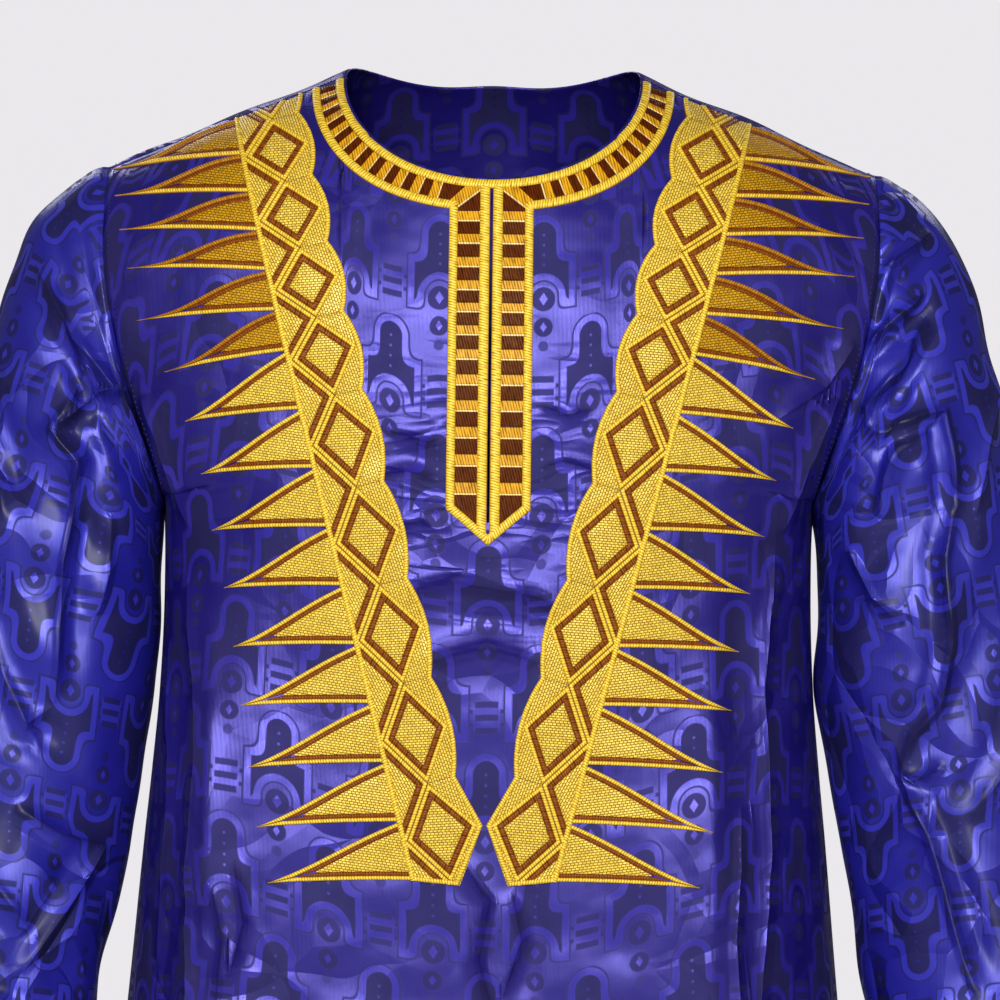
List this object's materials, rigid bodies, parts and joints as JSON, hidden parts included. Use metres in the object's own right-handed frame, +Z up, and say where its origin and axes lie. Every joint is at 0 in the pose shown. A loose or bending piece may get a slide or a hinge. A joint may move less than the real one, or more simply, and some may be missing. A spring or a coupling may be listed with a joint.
{
  "type": "dashiki shirt",
  "caption": "Long-sleeved tunic shirt in polished damask with an embroidered neck border, slit and V bands, hollow as worn.",
  "frame": {"origin": "midway between the wearer's shoulders, level with the points where the shoulder seams meet the neck", "axes": "+Z up, the front faces -Y, +X to the wearer's left"},
  "size_m": [0.7036, 0.263, 0.8552],
  "materials": {
    "damask": "polished",
    "gold_embroidery": "satin stitch"
  },
  "bodies": {
    "root": {"front_panel": "damask", "back_panel": "damask", "sleeve_right": "damask", "sleeve_left": "damask", "neck_placket_embroidery": "gold_embroidery", "embroidery_right": "gold_embroidery", "embroidery_left": "gold_embroidery"}
  },
  "joints": []
}
